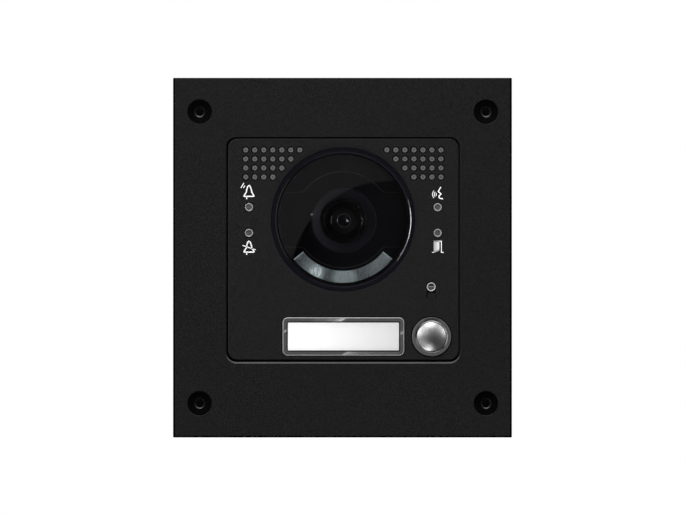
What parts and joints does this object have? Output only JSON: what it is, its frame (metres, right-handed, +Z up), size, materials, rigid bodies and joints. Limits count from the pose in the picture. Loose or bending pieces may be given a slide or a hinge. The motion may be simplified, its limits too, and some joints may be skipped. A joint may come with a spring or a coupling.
{
  "type": "door intercom panel",
  "caption": "Wall-mounted door intercom panel with a domed camera window, perforated speaker fields, a lit name window and a sprung round call button in a screwed front plate.",
  "frame": {"origin": "centre of the front plate's outline, on the wall plane that the gasket rests on", "axes": "the panel faces -Y, +X runs to the right of a person facing it and +Z up; +Y points into the wall"},
  "size_m": [0.15, 0.0335, 0.1594],
  "materials": {
    "plate_paint": "fine black powder coat on a die-cast plate",
    "fascia_plastic": "moulded black plastic with a fine grain",
    "gloss_black": "polished black plastic",
    "matt_black": "plain black plastic",
    "rubber": "soft black rubber",
    "clear_plastic": "clear polycarbonate, polished",
    "frosted_plastic": "grey translucent plastic",
    "steel": "plain steel",
    "black_steel": "blackened steel",
    "chrome": "bright plating",
    "circuit_board": "green glass-fibre circuit board",
    "white_part": "white plastic",
    "terminal_green": "green plastic",
    "bezel_grey": "dark satin plastic",
    "lens_glass": "coated lens glass",
    "sensor_black": "glossy sensor cover",
    "speaker_cloth": "grey woven mesh",
    "card_white": "blank white card"
  },
  "bodies": {
    "panel": {"front_plate": "plate_paint", "wall_gasket": "rubber", "module_fascia": "fascia_plastic", "module_seal": "rubber", "housing_seal": "rubber", "rear_housing": "matt_black", "main_board": "circuit_board", "terminal_block": "terminal_green", "window_ring": "gloss_black", "camera_window": "clear_plastic", "window_seal": "rubber", "camera_mask": "matt_black", "lens_bezel": "bezel_grey", "lens_barrel": "matt_black", "front_lens": "lens_glass", "lens_holder": "matt_black", "image_sensor": "sensor_black", "camera_board": "circuit_board", "camera_screw_upper": "steel", "camera_screw_lower": "steel", "illuminator_diffuser": "frosted_plastic", "illuminator_board": "circuit_board", "speaker_mesh_left": "speaker_cloth", "speaker_mesh_right": "speaker_cloth", "speaker_left": "matt_black", "speaker_right": "matt_black", "microphone_port": "frosted_plastic", "microphone_boot": "rubber", "microphone_capsule": "steel", "button_ring": "frosted_plastic", "button_spring": "steel", "switch_body": "matt_black", "name_window": "clear_plastic", "name_card": "card_white", "name_light_guide": "frosted_plastic", "fixing_screw_upper_left": "black_steel", "module_screw_upper_left": "steel", "housing_screw_upper_left": "steel", "light_pipe_upper_left": "frosted_plastic", "status_led_upper_left": "white_part", "fixing_screw_upper_right": "black_steel", "module_screw_upper_right": "steel", "housing_screw_upper_right": "steel", "light_pipe_upper_right": "frosted_plastic", "status_led_upper_right": "white_part", "fixing_screw_lower_left": "black_steel", "module_screw_lower_left": "steel", "housing_screw_lower_left": "steel", "light_pipe_lower_left": "frosted_plastic", "status_led_lower_left": "white_part", "fixing_screw_lower_right": "black_steel", "module_screw_lower_right": "steel", "housing_screw_lower_right": "steel", "light_pipe_lower_right": "frosted_plastic", "status_led_lower_right": "white_part", "illuminator_led_left": "white_part", "illuminator_led_middle": "white_part", "illuminator_led_right": "white_part"},
    "call_button": {"button_cap": "chrome", "switch_plunger": "white_part"}
  },
  "joints": [
    {"name": "call_button_press", "type": "slide", "parent": "panel", "child": "call_button", "axis": [0, 1, 0], "range_m": [0, 0.0012], "stiffness_N_per_m": 1200, "deforming": ["button_spring"]}
  ]
}
